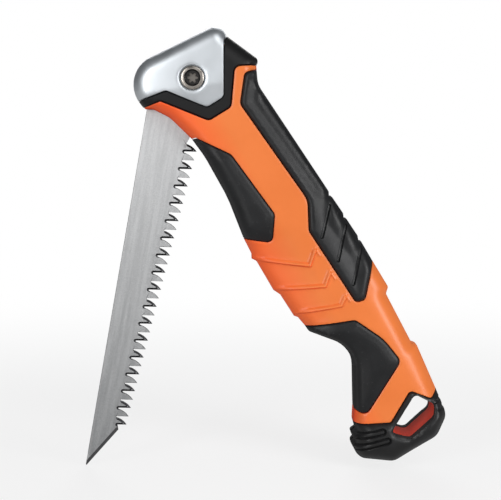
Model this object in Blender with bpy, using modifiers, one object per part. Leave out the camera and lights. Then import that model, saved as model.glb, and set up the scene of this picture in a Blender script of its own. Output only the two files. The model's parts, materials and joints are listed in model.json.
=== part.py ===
"""Folding jab saw: a locking blade that folds into a handle of two moulded shells.

The handle is drawn in its own plane, in millimetres: s runs from the pivot to the butt, n from the pivot to the
back, and y across the handle, front side negative. The blade has a plane of its own: b runs along the spine to
the point, t from the spine to the teeth. Two empties on the pivot carry those planes into the world.
"""

import math

import bmesh
import bpy
from mathutils import Matrix

MM = 0.001

# Where the saw stands: the pivot's place over the ground, and both planes' lean from straight down
PIVOT_X = -32.78
PIVOT_Z = 181.37
HANDLE_LEAN = 28.3
BLADE_LEAN = 10.34
OPENING = 43.6
CLOSED_LEAN = HANDLE_LEAN + BLADE_LEAN - OPENING

# Levels across the handle, measured from its middle plane
GAP = 0.3
PARTING = GAP / 2
BLADE_HALF = 0.65
CHANNEL = 1.25
POCKET = 2.25
CORE_TOP = 8.0
PAD_FLOOR = CORE_TOP + GAP
BAND_TOP = 11.8
ORANGE_TOP = 12.6
BOLSTER_TOP = 12.8
GRIP_TOP = 13.8
BOOT_TOP = 14.5
BLANK_TOP = 15.0
BLANK_ROUND = 6.0
WALL = 3.0
BEYOND = 20.0

# Pivot hardware
PIVOT_HOLE = 4.3
SLEEVE_RADIUS = 4.0
SCREW_RADIUS = 2.4
HEAD_RADIUS = 5.4
HEAD_SEAT = 9.6
HEAD_TOP = 12.3
WASHER_RADIUS = 7.0
WASHER_THICK = 0.8
SEAT_GAP = 0.8
HEAD_CHAMFER = 0.8
SCREW_END = 8.6
SLEEVE_END = 7.5
LOBES = 6
LOBE_RADIUS = 2.9
LOBE_WAVE = 0.45
RECESS_DEPTH = 1.6

# Stop pin, in a kidney slot of the tang, and the lock
PIN_REACH = 6.0
STOP_RADIUS = 1.8
STOP_ORBIT = 9.5
STOP_ANGLE = 40.0
TANG_RADIUS = 16.0
TANG_SPAN = (27, 268)
TANG_STEP = 6
KIDNEY_STEP = 12
NOSE_ANGLE = 80.0
NOTCH_DEPTH = 2.2
NOTCH_HALF_ANGLE = 8.5
NOTCH_FLANK = 1.0
LOCK_ANGLES = (0.0, 125.0, 180.0)
LOCK_PIN = (20.0, 19.0)
LOCK_PIN_RADIUS = 1.5
LEVER_HALF = 1.9
SPRING_S = 33.0
SPRING_FOOT = 15.5
SPRING_HEAD = 20.7
SPRING_TURNS = 5
SPRING_RADIUS = 1.45
SPRING_WIRE = 0.35

# Shell screws, from the rear
SHELL_SCREWS = ((52.0, 22.5), (86.0, 24.0), (131.0, 25.5), (163.0, 27.0))
SHELL_SCREW_RADIUS = 1.4
SHELL_SCREW_HEAD = 2.6
SHELL_SCREW_SEAT = 6.0
SHELL_SCREW_THICK = 2.0
SHELL_SCREW_CHAMFER = 0.6

# Blade
BLADE_POINT = (187.7, -18.3)
SPINE = -18.6
HEEL = [(5.0, SPINE, 4.0), (-0.8, -15.5, 0)]
FIRST_TOOTH = (32.6, 7.2)
LAST_TOOTH = (165.0, -3.0)
TEETH = 33
TOOTH_BACK = (-2.7, -5.3)
TOOTH_FRONT = (0.9, -5.6)
BEVEL_CORNER = (168.0, -6.3)

# Edges that two mouldings share, from the back of the handle to its belly or along one side: (s, n, radius)
BOLSTER_EDGE = [(-9.7, 22.6, 0.8), (-7.9, 20.3, 1.5), (14.2, 8.4, 3), (14.8, -0.6, 3), (-0.6, -13.2, 2.5),
                (-2.5, -27.2, 0.5)]
BAND_EDGE = [(8.6, 28.2, 0.3), (4.4, 19.2, 3), (19.7, 9.1, 3), (20.3, -2.6, 3), (2.3, -17.7, 1.5),
             (1.0, -26.6, 0.5)]
BACK_EDGE = [(10.4, 27.4, 0.5), (9.2, 21.8, 2.5), (20.5, 13.4, 4), (73.0, 19.9, 10), (85.7, 13.7, 3),
             (124.9, 17.2, 2), (125.6, 21.4, 2), (111.9, 33.2, 0.5)]
BELLY_EDGE = [(24.0, -13.9, 0.5), (24.4, -11.6, 2), (38.5, -1.1, 6), (71.6, 3.5, 3.5), (82.7, -3.6, 2.5),
              (74.9, -14.7, 0.5)]
FINGER_EDGE = [(124.4, -9.0, 0.5), (132.0, 13.0, 3.5), (146.0, 20.3, 20), (158.8, 22.6, 3.5),
               (173.6, -3.0, 3.5), (169.4, -7.0, 0.5)]
BOOT_EDGE = [(175.0, -10.4, 0.5), (182.2, 5.2, 2), (173.1, 19.9, 2), (181.4, 26.9, 1.5), (179.6, 31.4, 0.5)]

# Stretches of the outer edge between them
HEAD_END = [(-18.4, -27.3, 14), (-16.4, 18.8, 5), (-13.0, 22.7, 4)]
HEAD_CORNER = [(7.0, 30.6, 2.5)]
BACK_LINE = [(16.5, 24.8, 10), (76.0, 30.9, 60)]
BACK_COLLAR = [(126.9, 34.0, 1.5), (129.2, 31.6, 1.5), (155.3, 31.4, 0.8), (157.2, 33.1, 1.5)]
BUTT = [(193.0, 30.2, 5), (199.9, 21.5, 8), (200.5, 8.0, 30), (201.2, -2.2, 5), (191.8, -16.2, 4),
        (183.4, -16.2, 1), (182.9, -14.1, 0.6), (179.4, -13.9, 0.6), (178.9, -11.2, 0.6)]
FINGER_BAY = [(144.0, 5.8, 14), (127.8, -8.6, 3)]
BELLY_RIDGES = [(119.6, -10.0, 0.8), (118.2, -11.3, 0.5), (106.4, -12.2, 1), (103.0, -14.0, 1.2),
                (87.4, -14.5, 1), (85.2, -16.0, 0.8), (83.0, -14.9, 1)]
BELLY_LINE = [(55.0, -12.3, 40), (34.0, -12.6, 30)]
BELLY_FRONT = [(10.5, -18.2, 12), (4.0, -22.8, 1.5), (2.3, -25.8, 0.5)]

# The plain rounded body that every moulding's outer surface follows
BLANK = [(-18.8, -28.0, 14), (-17.4, 24.0, 9), (8.0, 33.2, 9), (17.0, 25.2, 20), (76.0, 31.6, 60),
         (127.5, 35.2, 30), (178.0, 33.6, 60), (196.5, 31.6, 10), (202.2, 18.0, 12), (203.2, -3.0, 10),
         (192.0, -19.0, 9), (168.0, -7.4, 9), (144.0, 5.6, 11), (128.0, -10.3, 9), (76.0, -16.2, 30),
         (34.0, -13.4, 30), (12.0, -18.4, 20), (5.0, -29.0, 9)]

TETHER_HOLE = [(186.6, 2.4, 2.5), (175.4, 21.0, 2.5), (184.6, 27.2, 4), (189.6, 24.2, 4), (193.4, 9.6, 3.5)]
CHANNEL_TOP = 12.3
CHANNEL_MOUTH = [(-40.0, -60.0), (-40.0, 19.6), (-8.0, 19.6)]
CHANNEL_BACK = [(14.0, CHANNEL_TOP), (166.0, CHANNEL_TOP), (171.0, 9.0), (191.5, -1.5), (192.0, -60.0)]
SWING_GAP = 0.8
LEVER = [(0.9, 16.45, 0.4), (4.8, 15.75, 0.4), (6.4, 18.2, 1.5), (14.0, 17.0, 3), (19.5, 15.9, 4),
         (25.5, 17.5, 3), (27.5, 21.0, 1.5), (38.3, 21.3, 1), (38.6, 25.7, 1.5), (26.0, 24.9, 1.2),
         (24.5, 22.4, 1.2), (10.0, 22.2, 4), (1.5, 20.8, 1.2)]
LEVER_POCKET = [(-1.2, 15.2, 0), (39.6, 15.2, 0), (39.6, 40.0, 0), (11.5, 40.0, 0), (11.5, 24.0, 0),
                (-1.2, 24.0, 0)]

ARC_STEP = 22.0


def clear_scene():
    for obj in list(bpy.data.objects):
        bpy.data.objects.remove(obj, do_unlink=True)


def collection(name):
    made = bpy.data.collections.new(name)
    bpy.context.scene.collection.children.link(made)
    return made


def empty(name, lean, parent=None):
    """An empty on the pivot, whose X runs down at a lean from straight down."""
    made = bpy.data.objects.new(name, None)
    made.location = (PIVOT_X * MM, 0, PIVOT_Z * MM)
    made.rotation_euler = (0, math.radians(lean), 0)
    PARTS.objects.link(made)
    made.parent = parent
    return made


def material(name, colour, roughness, metallic=0.0):
    made = bpy.data.materials.new(name)
    made.use_nodes = True
    shader = made.node_tree.nodes["Principled BSDF"]
    shader.inputs["Base Color"].default_value = (*colour, 1)
    shader.inputs["Roughness"].default_value = roughness
    shader.inputs["Metallic"].default_value = metallic
    made.diffuse_color = (*colour, 1)
    return made


def polar(radius, degrees):
    angle = math.radians(degrees)
    return (radius * math.cos(angle), radius * math.sin(angle))


def circle(centre, radius, count=28):
    points = [polar(radius, 360 * i / count) for i in range(count)]
    return [(centre[0] + s, centre[1] + n) for s, n in points]


def unit(start, end):
    length = math.hypot(end[0] - start[0], end[1] - start[1])
    return (end[0] - start[0]) / length, (end[1] - start[1]) / length, length


def rounded(corners):
    """The outline through (s, n, radius) corners, each rounded by an arc of its radius where it fits."""
    count = len(corners)
    edges = [unit(corners[i], corners[(i + 1) % count]) for i in range(count)]
    halves = []
    for i in range(count):
        (in_s, in_n, _), (out_s, out_n, _) = edges[i - 1], edges[i]
        halves.append(math.acos(max(-1.0, min(1.0, -in_s * out_s - in_n * out_n))) / 2)
    wanted = [corner[2] / math.tan(half) for corner, half in zip(corners, halves)]
    fits = [min(1.0, 0.98 * edges[i][2] / (wanted[i] + wanted[(i + 1) % count] + 0.001)) for i in range(count)]
    outline = []
    for i, (s, n, radius) in enumerate(corners):
        reach = wanted[i] * min(fits[i - 1], fits[i])
        if reach < 0.05:
            outline.append((s, n))
            continue
        (in_s, in_n, _), (out_s, out_n, _) = edges[i - 1], edges[i]
        side = 1 if in_s * out_n - in_n * out_s > 0 else -1
        radius = reach * math.tan(halves[i])
        hub_s, hub_n = s - in_s * reach - side * in_n * radius, n - in_n * reach + side * in_s * radius
        start = math.atan2(in_n, in_s) - side * math.pi / 2
        sweep = side * (math.pi - 2 * halves[i])
        steps = max(1, math.ceil(math.degrees(abs(sweep)) / ARC_STEP))
        for step in range(steps + 1):
            angle = start + sweep * step / steps
            outline.append((hub_s + radius * math.cos(angle), hub_n + radius * math.sin(angle)))
    return outline


def area(outline):
    pairs = zip(outline, outline[1:] + outline[:1])
    return sum(a[0] * b[1] - b[0] * a[1] for a, b in pairs) / 2


def inset(outline, distance):
    """The outline moved inwards by a distance, outwards if it is negative."""
    side = 1 if area(outline) > 0 else -1
    moved = []
    count = len(outline)
    for i, (s, n) in enumerate(outline):
        before = outline[i - 1]
        after = outline[(i + 1) % count]
        in_len = math.hypot(s - before[0], n - before[1])
        out_len = math.hypot(after[0] - s, after[1] - n)
        a_s, a_n = -(n - before[1]) / in_len, (s - before[0]) / in_len
        b_s, b_n = -(after[1] - n) / out_len, (after[0] - s) / out_len
        share = distance * side / (1 + a_s * b_s + a_n * b_n)
        moved.append((s + (a_s + b_s) * share, n + (a_n + b_n) * share))
    return moved


def place(obj, parent, owner):
    owner.objects.link(obj)
    obj.parent = parent
    if owner is CUTTERS:
        obj.hide_render = True
        obj.display_type = "WIRE"
    return obj


def slab(name, loops, low, high, parent, owner, look=None):
    """A flat outline, with any holes as further loops, from one level across the handle to another."""
    curve = bpy.data.curves.new(name, "CURVE")
    curve.dimensions = "2D"
    curve.fill_mode = "BOTH"
    curve.extrude = (high - low) / 2 * MM
    for loop in loops:
        spline = curve.splines.new("POLY")
        spline.points.add(len(loop) - 1)
        spline.use_cyclic_u = True
        for point, (s, n) in zip(spline.points, loop):
            point.co = (s * MM, n * MM, 0, 1)
    sketch = bpy.data.objects.new(name, curve)
    CUTTERS.objects.link(sketch)
    bpy.context.view_layer.update()
    mesh = bpy.data.meshes.new_from_object(sketch.evaluated_get(bpy.context.evaluated_depsgraph_get()))
    bpy.data.objects.remove(sketch)
    bm = bmesh.new()
    bm.from_mesh(mesh)
    bmesh.ops.remove_doubles(bm, verts=bm.verts, dist=0.00001)
    bmesh.ops.dissolve_limit(bm, angle_limit=0.001, verts=bm.verts, edges=bm.edges)
    bmesh.ops.transform(bm, matrix=Matrix.Rotation(math.pi / 2, 4, "X"), verts=bm.verts)
    bmesh.ops.translate(bm, vec=(0, (low + high) / 2 * MM, 0), verts=bm.verts)
    bmesh.ops.recalc_face_normals(bm, faces=bm.faces)
    bm.to_mesh(mesh)
    bm.free()
    mesh.name = name
    mesh.materials.clear()
    if look:
        mesh.materials.append(look)
    return place(bpy.data.objects.new(name, mesh), parent, owner)


def drum(name, centre, radius, low, high, parent, owner, look=None, count=28):
    return slab(name, [circle(centre, radius, count)], low, high, parent, owner, look)


def join(obj, other, operation="DIFFERENCE"):
    step = obj.modifiers.new(f"{operation.lower()} {other.name}", "BOOLEAN")
    step.operation = operation
    step.object = other
    step.solver = "EXACT"


def levels(side, inner, outer):
    """Two levels of the front half (side -1) or the rear half (side 1), low first."""
    return sorted((side * inner, side * outer))


def blank_body(side):
    """The smooth half body, its outer rim rounded."""
    outline = rounded(BLANK)
    obj = slab(f"blank_{side}", [outline], *levels(side, 0, BLANK_TOP), HANDLE, CUTTERS)
    bm = bmesh.new()
    bm.from_mesh(obj.data)
    weight = bm.edges.layers.float.new("bevel_weight_edge")
    for edge in bm.edges:
        if all(abs(v.co.y) > (BLANK_TOP - 1) * MM for v in edge.verts):
            edge[weight] = 1.0
    bm.to_mesh(obj.data)
    bm.free()
    bevel = obj.modifiers.new("round rim", "BEVEL")
    bevel.limit_method = "WEIGHT"
    bevel.width = BLANK_ROUND * MM
    bevel.segments = 3
    return obj


def channel_outline():
    """Where the blade swings: past the head's end and the belly, and around the tang."""
    around_tang = [polar(TANG_RADIUS + SWING_GAP, degrees) for degrees in range(92, 44, -8)]
    return CHANNEL_MOUTH + around_tang + CHANNEL_BACK


def make_cutters():
    """The shapes that several pieces are cut with."""
    core = inset(rounded(BLANK), WALL - GAP)
    shapes = {
        "channel": slab("channel", [channel_outline()], -CHANNEL, CHANNEL, HANDLE, CUTTERS),
        "pocket": slab("pocket", [rounded(LEVER_POCKET)], -POCKET, POCKET, HANDLE, CUTTERS),
        "tether": slab("tether", [rounded(TETHER_HOLE)], -BEYOND, BEYOND, HANDLE, CUTTERS),
        "pivot": drum("pivot", (0, 0), PIVOT_HOLE, -BEYOND, BEYOND, HANDLE, CUTTERS),
        "washers": drum("washers", (0, 0), WASHER_RADIUS + GAP, -washer_top() - GAP, washer_top() + GAP,
                        HANDLE, CUTTERS),
        "stop": drum("stop", polar(STOP_ORBIT, STOP_ANGLE), STOP_RADIUS + GAP, -PIN_REACH - GAP,
                     PIN_REACH + GAP, HANDLE, CUTTERS, count=16),
        "lock": drum("lock", LOCK_PIN, LOCK_PIN_RADIUS + GAP, -PIN_REACH - GAP, PIN_REACH + GAP, HANDLE,
                     CUTTERS, count=16),
    }
    for side, label in SIDES:
        shapes["blank", side] = blank_body(side)
        shapes["core", side] = slab(f"core_room_{label}", [core], *levels(side, -1, PAD_FLOOR), HANDLE, CUTTERS)
    for i, centre in enumerate(SHELL_SCREWS, 1):
        shapes["bore", i] = drum(f"bore_{i}", centre, SHELL_SCREW_RADIUS + GAP, -SHELL_SCREW_SEAT - GAP,
                                 SHELL_SCREW_SEAT + 1, HANDLE, CUTTERS, count=16)
        shapes["well", i] = drum(f"well_{i}", centre, SHELL_SCREW_HEAD + GAP, SHELL_SCREW_SEAT, BEYOND, HANDLE,
                                 CUTTERS, count=20)
    return shapes


def washer_top():
    return BLADE_HALF + GAP + WASHER_THICK


def moulding(name, corners, top, side, look, cutters, over_core=True):
    """One outer moulding: its outline, brought under the blank's surface and, unless it is the shell, over the core."""
    outline = inset(rounded(corners), GAP / 2)
    obj = slab(name, [outline], *levels(side, PARTING, top), HANDLE, PARTS, look)
    join(obj, cutters["blank", side], "INTERSECT")
    if over_core:
        join(obj, cutters["core", side])
        join(obj, cutters["channel"])
    return obj


def orange_outline():
    """The shell's visible surface: what the other mouldings leave of the handle."""
    return (BAND_EDGE[::-1] + BACK_EDGE + BACK_COLLAR + BOOT_EDGE[::-1] + FINGER_EDGE[::-1] + BELLY_RIDGES
            + BELLY_EDGE[::-1] + BELLY_FRONT)


def make_shell(side, label, cutters):
    core = slab(f"core_{label}", [inset(rounded(BLANK), WALL)], *levels(side, PARTING, CORE_TOP), HANDLE, CUTTERS)
    shell = moulding(f"{label}_shell", orange_outline(), ORANGE_TOP, side, ORANGE, cutters, over_core=False)
    join(shell, core, "UNION")
    for cutter in ("channel", "pocket", "tether", "pivot", "washers", "stop", "lock"):
        join(shell, cutters[cutter])
    for i in range(1, len(SHELL_SCREWS) + 1):
        join(shell, cutters["bore", i])
        if side > 0:
            join(shell, cutters["well", i])
    return shell


def make_mouldings(side, label, cutters):
    band = HEAD_CORNER + BAND_EDGE + BOLSTER_EDGE[::-1]
    moulding(f"{label}_head_band", band, BAND_TOP, side, PLASTIC, cutters)
    back = moulding(f"{label}_back_grip", BACK_EDGE + BACK_LINE[::-1], GRIP_TOP, side, RUBBER, cutters)
    join(back, cutters["pocket"])
    if side > 0:
        for i in (1, 2):
            join(back, cutters["well", i])
    moulding(f"{label}_belly_grip", BELLY_EDGE + BELLY_LINE, GRIP_TOP, side, RUBBER, cutters)
    moulding(f"{label}_finger_grip", FINGER_EDGE + FINGER_BAY, GRIP_TOP, side, RUBBER, cutters)
    boot = moulding(f"{label}_butt_boot", BOOT_EDGE + BUTT, BOOT_TOP, side, RUBBER, cutters)
    join(boot, cutters["tether"])


def make_bolster(side, label, cutters):
    """The cast plate around the pivot, with a counterbore for the head."""
    plate = moulding(f"{label}_bolster", HEAD_END + BOLSTER_EDGE, BOLSTER_TOP, side, CAST, cutters)
    seat = drum(f"seat_{label}", (0, 0), HEAD_RADIUS + SEAT_GAP, *levels(side, HEAD_SEAT, BEYOND), HANDLE,
                CUTTERS)
    join(plate, seat)
    join(plate, cutters["pivot"])


def turned(name, centre, profile, look, segments=28):
    """A turned piece from a (radius, level) profile that starts and ends on its axis across the handle."""
    mesh = bpy.data.meshes.new(name)
    points = [(radius * MM, 0, -level * MM) for radius, level in profile]
    mesh.from_pydata(points, [(i, i + 1) for i in range(len(points) - 1)], [])
    mesh.materials.append(look)
    obj = place(bpy.data.objects.new(name, mesh), HANDLE, PARTS)
    obj.location = (centre[0] * MM, 0, centre[1] * MM)
    obj.rotation_euler = (math.pi / 2, 0, 0)
    screw = obj.modifiers.new("turn", "SCREW")
    screw.steps = segments
    screw.render_steps = segments
    screw.use_merge_vertices = True
    screw.merge_threshold = 0.00001
    return obj


def lobed(radius, wave):
    count = LOBES * 8
    outline = []
    for i in range(count):
        degrees = 360 * i / count
        outline.append(polar(radius + wave * math.cos(math.radians(LOBES * degrees)), degrees))
    return outline


def make_pivot():
    """The screw, its threaded sleeve and the washers that the tang turns between."""
    seat = HEAD_SEAT + GAP
    bore = SCREW_RADIUS + GAP
    face_radius = HEAD_RADIUS - HEAD_CHAMFER
    rim = HEAD_TOP - HEAD_CHAMFER
    screw = turned("pivot_screw", (0, 0), [
        (0, -HEAD_TOP), (face_radius, -HEAD_TOP), (HEAD_RADIUS, -rim), (HEAD_RADIUS, -seat),
        (SCREW_RADIUS, -seat), (SCREW_RADIUS, SCREW_END), (0, SCREW_END)], STEEL)
    recess = slab("screw_recess", [lobed(LOBE_RADIUS, LOBE_WAVE)], -BEYOND, -HEAD_TOP + RECESS_DEPTH, HANDLE,
                  CUTTERS)
    join(screw, recess)
    turned("pivot_sleeve", (0, 0), [
        (0, SCREW_END + GAP), (bore, SCREW_END + GAP), (bore, -SLEEVE_END), (SLEEVE_RADIUS, -SLEEVE_END),
        (SLEEVE_RADIUS, seat), (HEAD_RADIUS, seat), (HEAD_RADIUS, rim), (face_radius, HEAD_TOP),
        (0, HEAD_TOP)], STEEL)
    rings = [circle((0, 0), WASHER_RADIUS), circle((0, 0), PIVOT_HOLE)]
    for side, label in SIDES:
        slab(f"{label}_washer", rings, *levels(side, BLADE_HALF + GAP, washer_top()), HANDLE, PARTS, BRASS)


def make_lock():
    """The rocker on its pin, the coil under its tail, and the pin that stops the blade."""
    drum("stop_pin", polar(STOP_ORBIT, STOP_ANGLE), STOP_RADIUS, -PIN_REACH, PIN_REACH, HANDLE, PARTS, STEEL, 16)
    drum("lock_pin", LOCK_PIN, LOCK_PIN_RADIUS, -PIN_REACH, PIN_REACH, HANDLE, PARTS, STEEL, 16)
    axle = empty("lever_axis", 0, HANDLE)
    axle.location = (LOCK_PIN[0] * MM, 0, LOCK_PIN[1] * MM)
    outline = [(s - LOCK_PIN[0], n - LOCK_PIN[1]) for s, n in rounded(LEVER)]
    hole = circle((0, 0), LOCK_PIN_RADIUS + GAP, 16)
    slab("lock_lever", [outline, hole], -LEVER_HALF, LEVER_HALF, axle, PARTS, STEEL)
    coil = bpy.data.curves.new("lock_spring", "CURVE")
    coil.dimensions = "3D"
    coil.bevel_depth = SPRING_WIRE * MM
    coil.bevel_resolution = 1
    coil.use_fill_caps = True
    per_turn = 10
    count = SPRING_TURNS * per_turn
    spline = coil.splines.new("POLY")
    spline.points.add(count)
    foot = SPRING_FOOT + SPRING_WIRE
    rise = SPRING_HEAD - SPRING_FOOT - 2 * SPRING_WIRE
    for i, point in enumerate(spline.points):
        across, along = polar(SPRING_RADIUS, 360 * i / per_turn)
        point.co = ((SPRING_S + along) * MM, across * MM, (foot + rise * i / count) * MM, 1)
    coil.materials.append(STEEL)
    place(bpy.data.objects.new("lock_spring", coil), HANDLE, PARTS)


def make_shell_screws():
    top = SHELL_SCREW_SEAT + GAP + SHELL_SCREW_THICK
    for i, centre in enumerate(SHELL_SCREWS, 1):
        turned(f"shell_screw_{i}", centre, [
            (0, -SHELL_SCREW_SEAT), (SHELL_SCREW_RADIUS, -SHELL_SCREW_SEAT),
            (SHELL_SCREW_RADIUS, SHELL_SCREW_SEAT + GAP), (SHELL_SCREW_HEAD, SHELL_SCREW_SEAT + GAP),
            (SHELL_SCREW_HEAD, top - SHELL_SCREW_CHAMFER), (SHELL_SCREW_HEAD - SHELL_SCREW_CHAMFER, top),
            (0, top)], STEEL, 16)


def teeth_points():
    """Root, tip and root of each tooth, from the heel to the point."""
    points = []
    for i in range(TEETH):
        along = i / (TEETH - 1)
        b = FIRST_TOOTH[0] + (LAST_TOOTH[0] - FIRST_TOOTH[0]) * along
        t = FIRST_TOOTH[1] + (LAST_TOOTH[1] - FIRST_TOOTH[1]) * along
        points += [(b + TOOTH_BACK[0], t + TOOTH_BACK[1]), (b, t)]
        if i < TEETH - 1:
            points.append((b + TOOTH_FRONT[0], t + TOOTH_FRONT[1]))
    return points


def tang_points():
    """The tang's rim, with a notch for the lever at each angle where the blade locks."""
    centres = [NOSE_ANGLE + CLOSED_LEAN + lock for lock in LOCK_ANGLES]
    mouth = NOTCH_HALF_ANGLE + NOTCH_FLANK
    points = []
    for degrees in range(*TANG_SPAN, TANG_STEP):
        if all(abs(degrees - centre) > mouth + NOTCH_FLANK for centre in centres):
            points.append((degrees, TANG_RADIUS))
    for centre in centres:
        points.append((centre - mouth, TANG_RADIUS))
        points.append((centre - NOTCH_HALF_ANGLE, TANG_RADIUS - NOTCH_DEPTH))
        points.append((centre + NOTCH_HALF_ANGLE, TANG_RADIUS - NOTCH_DEPTH))
        points.append((centre + mouth, TANG_RADIUS))
    return [polar(radius, degrees) for degrees, radius in sorted(points)]


def half_circle(orbit_angle, start):
    """The points between the ends of the slot's round end at one angle of the pin."""
    hub_b, hub_t = polar(STOP_ORBIT, orbit_angle)
    arc = [polar(STOP_RADIUS + GAP, start + degrees) for degrees in range(20, 161, 20)]
    return [(hub_b + b, hub_t + t) for b, t in arc]


def kidney():
    """The slot that the stop pin runs in over the blade's half turn."""
    closed = STOP_ANGLE + CLOSED_LEAN
    half = STOP_RADIUS + GAP
    sweep = range(0, 181, KIDNEY_STEP)
    outer = [polar(STOP_ORBIT + half, closed + degrees) for degrees in sweep]
    inner = [polar(STOP_ORBIT - half, closed + degrees) for degrees in reversed(sweep)]
    return outer + half_circle(closed + 180, closed + 180) + inner + half_circle(closed, closed + 180)


def make_blade():
    """A stiff blade with a bevelled stabbing point, big teeth and a round tang."""
    spine_end = (BLADE_POINT[0] - 0.5, SPINE)
    heel = rounded([(*BLADE_POINT, 0)] + HEEL + [(*FIRST_TOOTH, 0)])
    outline = [BLADE_POINT, spine_end] + heel[1:-2]
    outline += tang_points()[::-1]
    outline += teeth_points()
    outline.append(BEVEL_CORNER)
    hole = circle((0, 0), PIVOT_HOLE)
    slab("blade", [outline, hole, kidney()], -BLADE_HALF, BLADE_HALF, BLADE, PARTS, BLADE_STEEL)


clear_scene()
PARTS = collection("folding_jab_saw")
CUTTERS = collection("cutters")
SIDES = ((-1, "front"), (1, "rear"))
ORANGE = material("orange_plastic", (0.84, 0.2, 0.05), 0.45)
PLASTIC = material("black_plastic", (0.02, 0.02, 0.022), 0.5)
RUBBER = material("black_rubber", (0.025, 0.025, 0.027), 0.75)
CAST = material("satin_cast", (0.72, 0.74, 0.76), 0.35, 1.0)
STEEL = material("fastener_steel", (0.5, 0.47, 0.43), 0.35, 1.0)
BLADE_STEEL = material("brushed_steel", (0.6, 0.6, 0.61), 0.3, 1.0)
BRASS = material("bronze", (0.6, 0.45, 0.2), 0.4, 1.0)
HANDLE = empty("handle_frame", 90 - HANDLE_LEAN)
BLADE = empty("blade_axis", 90 + BLADE_LEAN)
cut_shapes = make_cutters()
for half_side, half_label in SIDES:
    make_shell(half_side, half_label, cut_shapes)
    make_mouldings(half_side, half_label, cut_shapes)
    make_bolster(half_side, half_label, cut_shapes)
make_pivot()
make_lock()
make_shell_screws()
make_blade()
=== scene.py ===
"""Looks of the folding saw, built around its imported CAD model.

The handle's pieces are drawn in its own plane, in millimetres: s runs from the pivot to the butt, n from the pivot
to the back, and the level is measured across the handle from its middle plane. Each outer moulding is a height
field over its outline, closed down to the parting plane and cut like the CAD piece that it stands for.
The blade has a plane of its own: b runs along the spine to the point, t from the spine to the teeth.
"""

import json
import math

import bmesh
import bpy
import numpy as np
from mathutils import Matrix, Vector
from mathutils.geometry import delaunay_2d_cdt


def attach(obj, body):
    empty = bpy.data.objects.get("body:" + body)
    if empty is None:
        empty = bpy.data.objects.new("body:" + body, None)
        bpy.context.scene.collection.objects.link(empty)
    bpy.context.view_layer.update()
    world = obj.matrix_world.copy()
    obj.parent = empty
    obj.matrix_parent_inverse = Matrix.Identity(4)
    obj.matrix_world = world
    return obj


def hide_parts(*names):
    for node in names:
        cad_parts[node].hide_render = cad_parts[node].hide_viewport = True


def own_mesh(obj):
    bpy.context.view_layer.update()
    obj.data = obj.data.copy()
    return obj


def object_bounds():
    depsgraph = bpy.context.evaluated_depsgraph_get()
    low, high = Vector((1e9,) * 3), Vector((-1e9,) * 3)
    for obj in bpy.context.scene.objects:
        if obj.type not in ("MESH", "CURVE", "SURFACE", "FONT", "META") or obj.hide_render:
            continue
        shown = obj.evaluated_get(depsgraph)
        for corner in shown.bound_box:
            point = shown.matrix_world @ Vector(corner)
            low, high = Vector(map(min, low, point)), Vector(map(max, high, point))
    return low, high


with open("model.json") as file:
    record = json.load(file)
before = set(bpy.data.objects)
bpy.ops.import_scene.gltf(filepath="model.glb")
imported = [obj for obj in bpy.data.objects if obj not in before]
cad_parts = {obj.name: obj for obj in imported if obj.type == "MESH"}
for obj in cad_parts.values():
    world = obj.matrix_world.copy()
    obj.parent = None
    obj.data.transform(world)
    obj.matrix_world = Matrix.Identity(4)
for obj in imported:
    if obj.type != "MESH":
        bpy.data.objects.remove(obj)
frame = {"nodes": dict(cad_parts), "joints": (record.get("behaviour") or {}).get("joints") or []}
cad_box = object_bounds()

MM = 0.001

# Where the two planes stand: on the blade's hinge, turned about the axis across the handle
HANDLE_TURN = 61.7
BLADE_TURN = 100.34

# Gaps, and levels across the handle
GAP = 0.3
SEAM_HALF = 0.2
PARTING = 0.005
BLADE_HALF = 0.65
CHANNEL = 1.25
POCKET = 2.25
BEYOND = 20.0

# The core and the wider web under it, which join the shell below the pads, plainer than in the CAD model
CORE_TOP = 8.0
PAD_FLOOR = CORE_TOP + GAP
CORE_INSET = 4.6
WEB_INSET = 3.8
WEB_TOP = 2.6

# Outlines that the mouldings share: (s, n, radius). They follow the CAD model's, with sharp ends at the rim.
BOLSTER_EDGE = [(-9.7, 22.6, 0.8), (-7.9, 20.3, 1.5), (14.2, 8.4, 3), (14.8, -0.6, 3), (-0.6, -13.2, 2.5),
                (-2.5, -27.2, 0)]
BAND_EDGE = [(8.6, 28.2, 0), (4.4, 19.2, 3), (19.7, 9.1, 3), (20.3, -2.6, 3), (2.3, -17.7, 1.5),
             (1, -26.6, 0)]
BACK_EDGE = [(10.4, 27.4, 0), (9.2, 21.8, 2.5), (20.5, 13.4, 4), (73, 19.9, 10), (85.7, 13.7, 3),
             (124.9, 17.2, 2), (125.6, 21.4, 2), (111.9, 33.2, 0)]
BELLY_EDGE = [(24, -13.9, 0), (24.4, -11.6, 2), (38.5, -1.1, 6), (71.6, 3.5, 3.5), (82.7, -3.6, 2.5),
              (74.9, -14.7, 0)]
BELLY_START = (23.76, -14, 0)
FINGER_EDGE = [(124.4, -9, 0), (132, 13, 3.5), (146, 20.3, 20), (158.8, 22.6, 3.5),
               (173.6, -3, 3.5), (169.4, -7, 0)]
BOOT_EDGE = [(175, -10.4, 0), (182.2, 5.2, 2), (173.1, 19.9, 2), (181.4, 26.9, 1.5), (179.6, 31.4, 0)]
HEAD_END = [(-18.4, -27.3, 14), (-16.4, 18.8, 5), (-13, 22.7, 4)]
HEAD_CORNER = [(7, 30.6, 2.5)]
BACK_LINE = [(16.5, 24.8, 10), (76, 30.9, 60)]
BACK_COLLAR = [(126.9, 34, 1.5), (129.2, 31.6, 1.5), (155.3, 31.4, 0.8), (157.2, 33.1, 1.5)]
BUTT = [(193, 30.2, 6), (199.9, 21.5, 8), (200.5, 8, 30), (201.2, -2.2, 7), (191.8, -16.2, 6),
        (183.4, -16.2, 1), (182.9, -14.1, 0.6), (179.4, -13.9, 0.6), (178.9, -11.2, 0.6)]
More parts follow.
